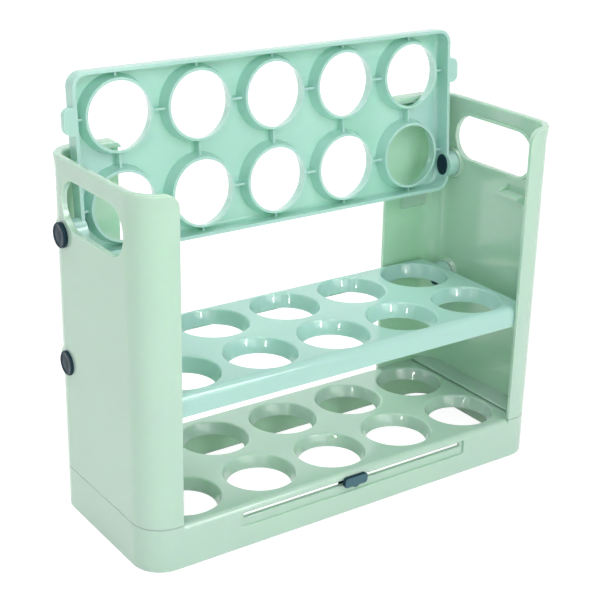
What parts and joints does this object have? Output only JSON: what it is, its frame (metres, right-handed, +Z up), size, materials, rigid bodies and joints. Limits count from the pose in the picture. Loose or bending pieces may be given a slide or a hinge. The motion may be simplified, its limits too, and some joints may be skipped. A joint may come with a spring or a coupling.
{
  "type": "tiered egg holder",
  "caption": "Tiered plastic egg holder: a ribbed base tray between two slotted side panels, cup trays that tilt up on rear snap pins, and a sliding date marker.",
  "frame": {"origin": "floor level, under the middle of the object's bounding box", "axes": "+X along the trays to the right seen from the front, +Y from the date channel's side to the hinge side, +Z up"},
  "size_m": [0.2806, 0.1108, 0.2536],
  "materials": {
    "mint": "pale mint moulded polypropylene, smooth and lightly glossy",
    "teal": "pale teal moulded polypropylene, smooth and lightly glossy",
    "slate": "dark slate blue moulded plastic, satin"
  },
  "bodies": {
    "frame": {"base_tray": "mint", "side_panel_left": "mint", "side_panel_right": "mint", "hinge_pin_lower_right": "slate", "pin_clip_lower_right": "slate", "hinge_pin_lower_left": "slate", "pin_clip_lower_left": "slate", "hinge_pin_upper_right": "slate", "pin_clip_upper_right": "slate", "hinge_pin_upper_left": "slate", "pin_clip_upper_left": "slate"},
    "middle_tray": {"middle_tray": "teal"},
    "top_tray": {"top_tray": "teal"},
    "date_slider": {"date_slider": "slate", "slider_clip": "slate"}
  },
  "joints": [
    {"name": "top_tray_tilt", "type": "hinge", "parent": "frame", "child": "top_tray", "pos_m": [0, 0.0354, 0.1678], "axis": [1, 0, 0], "range_deg": [0, 94]},
    {"name": "middle_tray_tilt", "type": "hinge", "parent": "frame", "child": "middle_tray", "pos_m": [0, 0.0354, 0.0928], "axis": [-1, 0, 0], "range_deg": [0, 50]},
    {"name": "date_slide", "type": "slide", "parent": "frame", "child": "date_slider", "axis": [1, 0, 0], "range_m": [-0.06925, 0.07575]}
  ]
}
